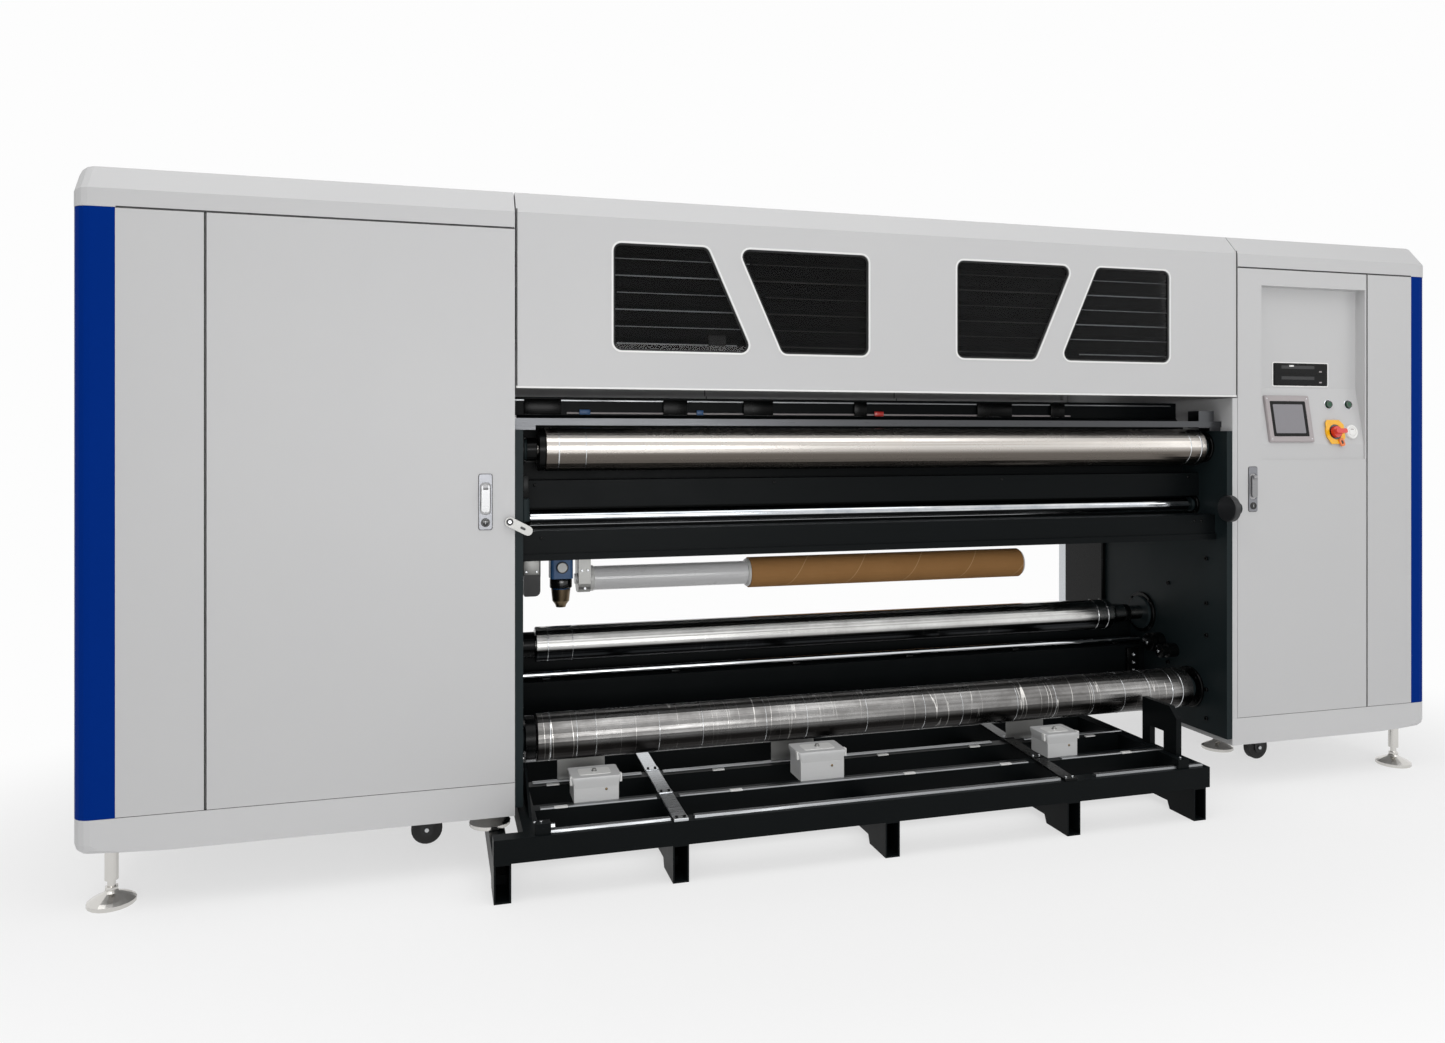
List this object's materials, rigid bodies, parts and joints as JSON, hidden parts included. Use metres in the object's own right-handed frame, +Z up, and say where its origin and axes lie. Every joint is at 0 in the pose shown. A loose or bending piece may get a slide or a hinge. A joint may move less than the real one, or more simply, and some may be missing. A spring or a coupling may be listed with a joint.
{
  "type": "roll-to-roll wide-format inkjet printer",
  "caption": "Long web-fed inkjet printer: two end cabinets, a hinged windowed cover, horizontal web rollers, a take-up shaft and a low loading platform.",
  "frame": {"origin": "middle of the whole machine's footprint, on the floor", "axes": "+X to the operator's right along the length, +Y from the operator's side to the rear, +Z up"},
  "size_m": [3.904, 1.08, 1.7],
  "materials": {
    "light_enamel": "semi-gloss powder coat",
    "blue_enamel": "semi-gloss powder coat",
    "black_enamel": "satin powder coat",
    "steel": "ground",
    "chrome": "polished",
    "cast_aluminium": "satin",
    "smoked_acrylic": "polished sheet",
    "dark_plastic": "fine texture",
    "white_plastic": "smooth tube",
    "cardboard": "wound paper tube",
    "rubber": "tread",
    "green_lens": "lens",
    "yellow_plastic": "moulded",
    "red_plastic": "moulded",
    "blue_plastic": "moulded"
  },
  "bodies": {
    "frame": {"base_beam": "black_enamel", "base_frame": "black_enamel", "carriage_beam": "cast_aluminium", "filter_regulator": "blue_plastic", "guide_bar": "steel", "left_cabinet": "light_enamel", "left_corner_trim": "blue_enamel", "left_front_foot": "steel", "left_inner_foot": "steel", "left_plinth": "light_enamel", "left_rear_foot": "steel", "left_side_panel": "light_enamel", "left_side_plate": "black_enamel", "left_strap": "steel", "left_top_cap": "light_enamel", "platen": "cast_aluminium", "rear_cover": "light_enamel", "right_cabinet": "light_enamel", "right_corner_trim": "blue_enamel", "right_front_foot": "steel", "right_inner_foot": "steel", "right_plinth": "light_enamel", "right_rear_foot": "steel", "right_side_panel": "light_enamel", "right_side_plate": "black_enamel", "right_strap": "black_enamel", "right_top_cap": "light_enamel", "take_up_beam": "black_enamel", "take_up_bracket": "cast_aluminium", "take_up_motor": "cast_aluminium", "upper_beam": "black_enamel", "web_tray": "black_enamel"},
    "left_door": {"left_door": "light_enamel"},
    "left_latch": {"left_latch_handle": "steel"},
    "hasp": {"door_hasp": "steel"},
    "right_door": {"right_door": "light_enamel", "touch_panel": "dark_plastic", "switch_plate": "yellow_plastic"},
    "right_latch": {"right_latch_handle": "steel"},
    "start_button": {"start_button": "green_lens"},
    "stop_button": {"stop_button": "green_lens"},
    "switch_knob": {"switch_knob": "red_plastic"},
    "cover": {"top_cover": "light_enamel", "left_window": "smoked_acrylic", "right_window": "smoked_acrylic"},
    "carriage": {"print_carriage": "dark_plastic"},
    "top_roller": {"top_roller": "steel"},
    "idler_roller": {"idler_roller": "chrome"},
    "mid_roller": {"mid_roller": "steel"},
    "lower_roller": {"lower_roller": "steel"},
    "take_up": {"take_up_shaft": "white_plastic", "cardboard_core": "cardboard"},
    "handwheel": {"handwheel": "dark_plastic"},
    "saddle_1": {"saddle_block_1": "cast_aluminium"},
    "saddle_2": {"saddle_block_2": "cast_aluminium"},
    "saddle_3": {"saddle_block_3": "cast_aluminium"},
    "left_front_wheel": {"left_front_wheel": "rubber"},
    "left_rear_wheel": {"left_rear_wheel": "rubber"},
    "right_front_wheel": {"right_front_wheel": "rubber"},
    "right_rear_wheel": {"right_rear_wheel": "rubber"}
  },
  "joints": [
    {"name": "left_door_hinge", "type": "hinge", "parent": "frame", "child": "left_door", "pos_m": [-1.674, -0.36, 0.909], "axis": [0, 0, -1], "range_deg": [0, 110]},
    {"name": "right_door_hinge", "type": "hinge", "parent": "frame", "child": "right_door", "pos_m": [1.698, -0.36, 0.909], "axis": [0, 0, 1], "range_deg": [0, 110]},
    {"name": "left_latch_pivot", "type": "hinge", "parent": "left_door", "child": "left_latch", "pos_m": [-1.045, -0.367, 0.9558], "axis": [-1, 0, 0], "range_deg": [0, 40]},
    {"name": "right_latch_pivot", "type": "hinge", "parent": "right_door", "child": "right_latch", "pos_m": [1.257, -0.367, 0.9558], "axis": [-1, 0, 0], "range_deg": [0, 40]},
    {"name": "hasp_pivot", "type": "hinge", "parent": "left_door", "child": "hasp", "pos_m": [-0.9865, -0.366, 0.8694], "axis": [0, 1, 0], "range_deg": [0, 80]},
    {"name": "start_button_travel", "type": "slide", "parent": "right_door", "child": "start_button", "axis": [0, 0.9849, -0.173], "range_m": [0, 0.003], "stiffness_N_per_m": 800, "springref_m": -0.0005},
    {"name": "stop_button_travel", "type": "slide", "parent": "right_door", "child": "stop_button", "axis": [0, 0.9849, -0.173], "range_m": [0, 0.003], "stiffness_N_per_m": 800, "springref_m": -0.0005},
    {"name": "switch_turn", "type": "hinge", "parent": "right_door", "child": "switch_knob", "pos_m": [1.58, -0.35486, 1.09589], "axis": [0, -0.9849, 0.173], "range_deg": [0, 90]},
    {"name": "cover_hinge", "type": "hinge", "parent": "frame", "child": "cover", "pos_m": [0.114, 0.526, 1.688], "axis": [-1, 0, 0], "range_deg": [0, 70]},
    {"name": "carriage_travel", "type": "slide", "parent": "frame", "child": "carriage", "axis": [1, 0, 0], "range_m": [0, 1.769]},
    {"name": "top_roller_spin", "type": "hinge", "parent": "frame", "child": "top_roller", "pos_m": [0, -0.26, 1.048], "axis": [1, 0, 0], "continuous": true},
    {"name": "idler_roller_spin", "type": "hinge", "parent": "frame", "child": "idler_roller", "pos_m": [0, -0.21, 0.866], "axis": [1, 0, 0], "continuous": true},
    {"name": "mid_roller_spin", "type": "hinge", "parent": "frame", "child": "mid_roller", "pos_m": [0, 0.03, 0.484], "axis": [1, 0, 0], "continuous": true},
    {"name": "lower_roller_spin", "type": "hinge", "parent": "frame", "child": "lower_roller", "pos_m": [0, -0.2, 0.283], "axis": [1, 0, 0], "continuous": true},
    {"name": "take_up_spin", "type": "hinge", "parent": "frame", "child": "take_up", "pos_m": [0, 0.3, 0.632], "axis": [1, 0, 0], "continuous": true},
    {"name": "handwheel_turn", "type": "hinge", "parent": "frame", "child": "handwheel", "pos_m": [1.1517, -0.392, 0.864], "axis": [1, 0, 0], "continuous": true},
    {"name": "saddle_1_travel", "type": "slide", "parent": "frame", "child": "saddle_1", "axis": [1, 0, 0], "range_m": [-0.07, 0.06]},
    {"name": "saddle_2_travel", "type": "slide", "parent": "frame", "child": "saddle_2", "axis": [1, 0, 0], "range_m": [-0.2, 0.2]},
    {"name": "saddle_3_travel", "type": "slide", "parent": "frame", "child": "saddle_3", "axis": [1, 0, 0], "range_m": [0, 0.18]},
    {"name": "left_front_wheel_spin", "type": "hinge", "parent": "frame", "child": "left_front_wheel", "pos_m": [-1.185, -0.12, 0.0425], "axis": [0, 1, 0], "continuous": true},
    {"name": "left_rear_wheel_spin", "type": "hinge", "parent": "frame", "child": "left_rear_wheel", "pos_m": [-1.185, 0.3, 0.0425], "axis": [0, 1, 0], "continuous": true},
    {"name": "right_front_wheel_spin", "type": "hinge", "parent": "frame", "child": "right_front_wheel", "pos_m": [1.49, -0.12, 0.0425], "axis": [0, 1, 0], "continuous": true},
    {"name": "right_rear_wheel_spin", "type": "hinge", "parent": "frame", "child": "right_rear_wheel", "pos_m": [1.49, 0.3, 0.0425], "axis": [0, 1, 0], "continuous": true}
  ]
}
